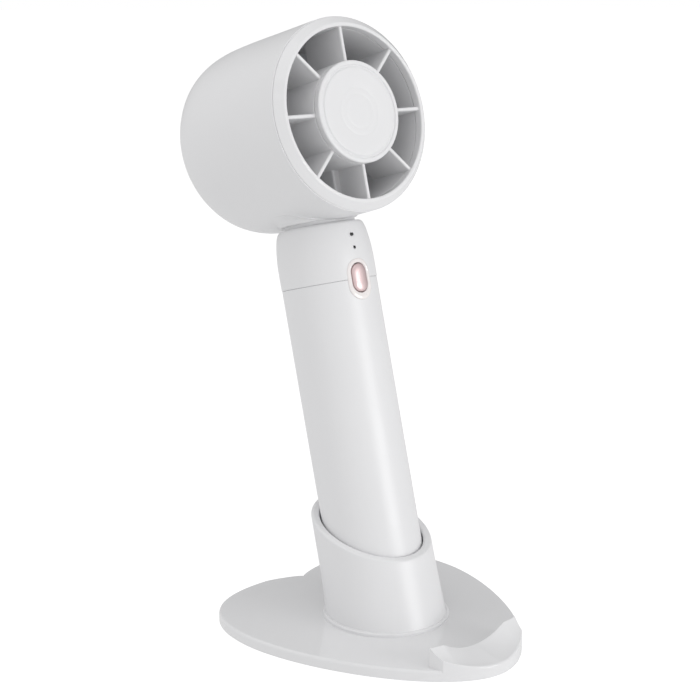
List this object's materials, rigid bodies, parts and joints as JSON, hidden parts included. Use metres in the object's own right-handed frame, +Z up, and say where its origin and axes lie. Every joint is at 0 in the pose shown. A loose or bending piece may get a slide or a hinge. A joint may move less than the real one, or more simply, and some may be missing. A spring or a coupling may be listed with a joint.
{
  "type": "handheld electric fan",
  "caption": "Handheld electric fan with a drum-shaped head on a straight round handle, standing in a heart-shaped dock with a leaning sleeve and a phone stop.",
  "frame": {"origin": "under the middle of the whole object's box, on the surface that the dock stands on", "axes": "+Z up, -Y towards the side that the air blows to, +X to the right seen from the front; x = 0 is the plane of symmetry"},
  "size_m": [0.1056, 0.1508, 0.2227],
  "materials": {
    "gloss_white": "high gloss moulded",
    "satin_white": "satin moulded",
    "pad_rubber": "matte, fine texture",
    "pearl": "pearlescent lacquer",
    "rose_gold": "metallised rose gold",
    "inner_plastic": "plain moulded",
    "fan_plastic": "plain moulded",
    "cell_wrap": "shrink wrap over a steel can",
    "brass": "turned",
    "lamination": "coated steel sheets",
    "magnet": "bonded magnet",
    "board_green": "solder mask",
    "black_plastic": "moulded",
    "indicator": "dark translucent",
    "red_wire": "insulated wire",
    "black_wire": "insulated wire",
    "steel": "plated",
    "copper": "enamelled copper wire"
  },
  "bodies": {
    "dock": {"base_plate": "gloss_white", "foot_pad": "pad_rubber", "sleeve": "satin_white", "dock_screw_1": "steel", "dock_screw_2": "steel", "dock_screw_3": "steel"},
    "handle": {"grip_tube": "satin_white", "bottom_cap": "satin_white", "top_shell": "satin_white", "bezel": "pearl", "tact_switch": "black_plastic", "led_pipe_lower": "indicator", "led_pipe_upper": "indicator", "main_board": "board_green", "driver_chip": "black_plastic", "charge_board": "board_green", "usb_port": "steel", "battery_cell": "cell_wrap", "contact_lower": "steel", "contact_upper": "steel", "battery_lead_positive": "red_wire", "battery_lead_negative": "black_wire", "battery_carrier": "inner_plastic", "carrier_screw_1": "steel", "carrier_screw_2": "steel", "motor_lead": "black_wire", "head_shell": "satin_white", "front_ring": "gloss_white", "air_duct": "satin_white", "front_grille": "satin_white", "hub_cap": "satin_white", "motor_base": "brass", "motor_screw_1": "steel", "motor_screw_2": "steel", "motor_screw_3": "steel", "bearing_front": "steel", "bearing_rear": "steel", "stator_core": "lamination", "coil_1": "copper", "coil_2": "copper", "coil_3": "copper", "coil_4": "copper", "coil_5": "copper", "coil_6": "copper", "rear_grille": "satin_white"},
    "rotor": {"impeller": "fan_plastic", "rotor_bell": "steel", "magnet_ring": "magnet", "motor_shaft": "steel"},
    "button": {"button_cap": "rose_gold", "switch_plunger": "inner_plastic"}
  },
  "joints": [
    {"name": "dock_lift", "type": "slide", "parent": "dock", "child": "handle", "axis": [0, 0.2588, 0.9659], "range_m": [0, 0.06]},
    {"name": "impeller_spin", "type": "hinge", "parent": "handle", "child": "rotor", "pos_m": [0, 0.00143, 0.1894], "axis": [0, -0.9659, 0.2588], "continuous": true},
    {"name": "button_press", "type": "slide", "parent": "handle", "child": "button", "axis": [0, 0.9659, -0.2588], "range_m": [0, 0.0005], "stiffness_N_per_m": 1200, "springref_m": -0.0004}
  ]
}
